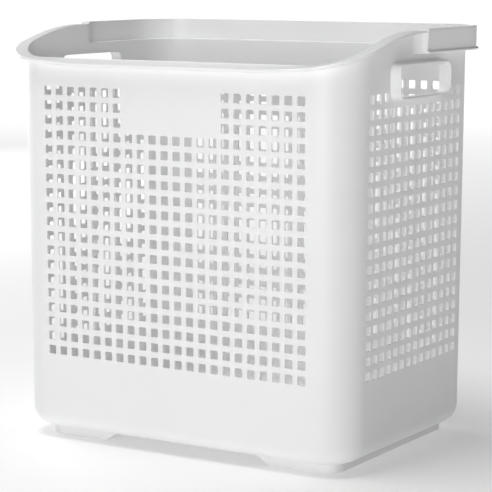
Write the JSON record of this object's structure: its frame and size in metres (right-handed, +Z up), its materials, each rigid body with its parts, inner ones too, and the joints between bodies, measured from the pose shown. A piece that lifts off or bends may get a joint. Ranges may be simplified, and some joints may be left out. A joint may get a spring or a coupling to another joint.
{
  "type": "stackable laundry basket",
  "caption": "Open perforated plastic laundry basket with a low front edge, side hand openings and a stacking band round the back.",
  "frame": {"origin": "on the ground under the middle of the whole basket", "axes": "+X to the basket's right, -Y out of its low front, +Z up"},
  "size_m": [0.4178, 0.3054, 0.422],
  "materials": {
    "white_plastic": "satin"
  },
  "bodies": {
    "root": {"front_panel": "white_plastic", "back_panel": "white_plastic", "left_panel": "white_plastic", "right_panel": "white_plastic", "left_handle_panel": "white_plastic", "right_handle_panel": "white_plastic", "left_handle_collar": "white_plastic", "right_handle_collar": "white_plastic", "front_left_corner": "white_plastic", "front_right_corner": "white_plastic", "back_left_corner": "white_plastic", "back_right_corner": "white_plastic", "floor_pan": "white_plastic", "front_rim": "white_plastic", "front_left_rim": "white_plastic", "front_right_rim": "white_plastic", "left_rim": "white_plastic", "right_rim": "white_plastic", "back_band": "white_plastic", "back_left_band": "white_plastic", "back_right_band": "white_plastic", "left_band": "white_plastic", "right_band": "white_plastic", "left_foot_rail": "white_plastic", "right_foot_rail": "white_plastic"}
  },
  "joints": []
}
